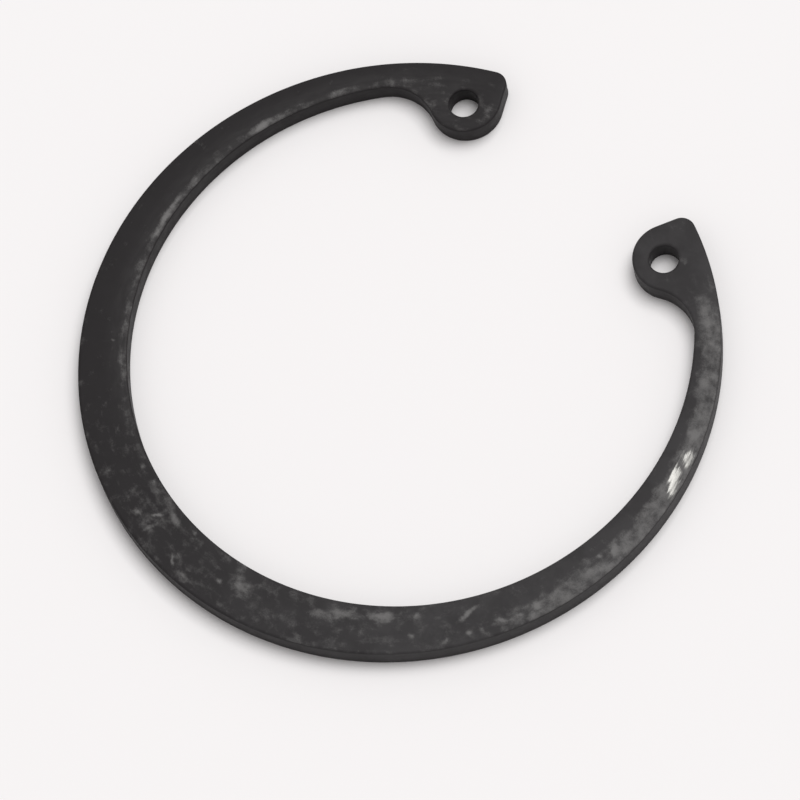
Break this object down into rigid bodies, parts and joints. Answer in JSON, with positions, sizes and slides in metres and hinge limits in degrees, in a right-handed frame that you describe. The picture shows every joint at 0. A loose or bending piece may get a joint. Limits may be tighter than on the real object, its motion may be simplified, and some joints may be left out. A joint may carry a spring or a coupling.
{
  "type": "circlip retaining ring",
  "caption": "Internal retaining ring of dark spring steel: a flat open band that narrows towards the gap and ends in inward lugs with plier holes; it snaps into a groove in a bore",
  "frame": {"origin": "centre of the ring's outer edge, on its lower face", "axes": "+Z out of the upper face, through the thickness; +Y from the centre to the middle of the gap; +X across, so that the lugs lie at +Y either side of the YZ plane"},
  "size_m": [0.0542, 0.0519, 0.002],
  "materials": {
    "ring_steel": "black phosphate and oil, satin, with small scuffs"
  },
  "bodies": {
    "root": {"retaining_ring": "ring_steel"}
  },
  "joints": []
}
